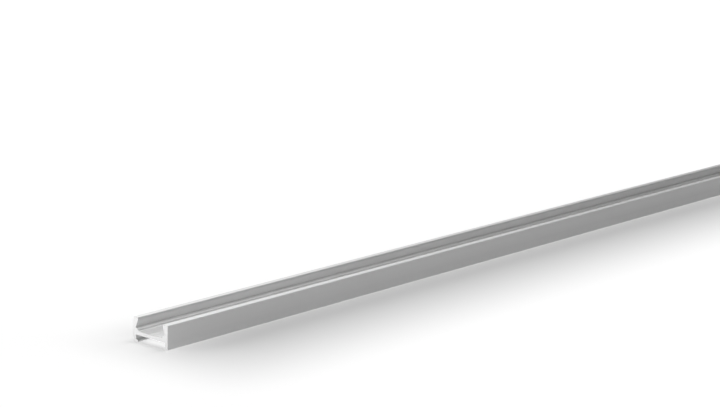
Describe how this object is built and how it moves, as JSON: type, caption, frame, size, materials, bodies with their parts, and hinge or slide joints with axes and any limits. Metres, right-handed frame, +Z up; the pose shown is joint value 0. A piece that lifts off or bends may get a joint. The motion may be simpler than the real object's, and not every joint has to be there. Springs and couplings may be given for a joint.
{
  "type": "aluminium extrusion profile",
  "caption": "Straight H-section aluminium extrusion: a floor for LED tape between undercut walls that hold a snap-in cover, over a shallow channel with hooked feet for spring clips.",
  "frame": {"origin": "under the middle of the bar, on the plane that its feet stand on", "axes": "+X along the bar, +Y across it, +Z up, out of the mouth of the tape channel"},
  "size_m": [1, 0.017, 0.0087],
  "materials": {
    "anodised_aluminium": "satin natural anodised, with sawn ends"
  },
  "bodies": {
    "root": {"profile": "anodised_aluminium"}
  },
  "joints": []
}
